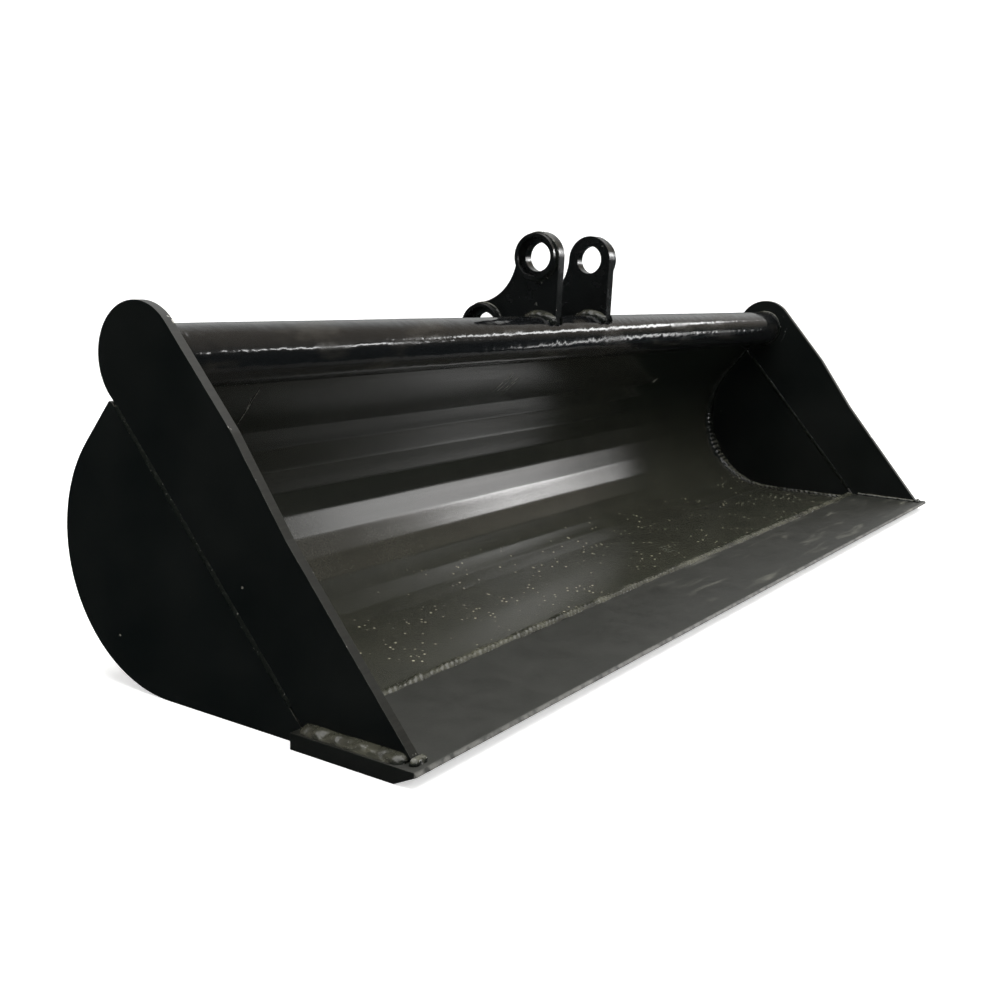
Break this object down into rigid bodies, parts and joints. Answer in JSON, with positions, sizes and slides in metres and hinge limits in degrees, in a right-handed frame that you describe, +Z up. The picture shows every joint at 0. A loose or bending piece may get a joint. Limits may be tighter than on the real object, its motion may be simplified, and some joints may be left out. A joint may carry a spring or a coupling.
{
  "type": "excavator bucket",
  "caption": "Wide ditching bucket for a small excavator: braked shell between flat sides, bevelled lip, torque tube and two pin ears.",
  "frame": {"origin": "under the middle of the bucket, on the plane that its flat bottom rests on", "axes": "+X along the width, +Y from the lip to the back, +Z up"},
  "size_m": [1.222, 0.3586, 0.357],
  "materials": {
    "shell_paint": "satin black paint on pressed steel plate",
    "edge_paint": "satin black paint on rolled flat bar, scuffed at the lip",
    "tube_paint": "gloss black paint on drawn steel tube",
    "side_paint": "satin black paint on flame-cut plate",
    "ear_paint": "gloss black paint on thick flame-cut plate",
    "painted_weld": "black paint over rippled weld beads"
  },
  "bodies": {
    "root": {"shell_plate": "shell_paint", "cutting_edge": "edge_paint", "torque_tube": "tube_paint", "left_cheek_plate": "side_paint", "right_cheek_plate": "side_paint", "left_side_strip": "side_paint", "right_side_strip": "side_paint", "left_ear": "ear_paint", "right_ear": "ear_paint", "left_front_collar": "ear_paint", "right_front_collar": "ear_paint", "left_rear_collar": "ear_paint", "right_rear_collar": "ear_paint", "edge_seam_weld": "painted_weld", "tube_seam_weld": "painted_weld", "left_shell_weld": "painted_weld", "right_shell_weld": "painted_weld", "left_strip_weld": "painted_weld", "right_strip_weld": "painted_weld", "left_ledge_weld": "painted_weld", "right_ledge_weld": "painted_weld", "left_foot_weld": "painted_weld", "right_foot_weld": "painted_weld", "left_tube_weld": "painted_weld", "right_tube_weld": "painted_weld", "left_ear_weld": "painted_weld", "right_ear_weld": "painted_weld", "left_collar_weld": "painted_weld", "right_collar_weld": "painted_weld"}
  },
  "joints": []
}
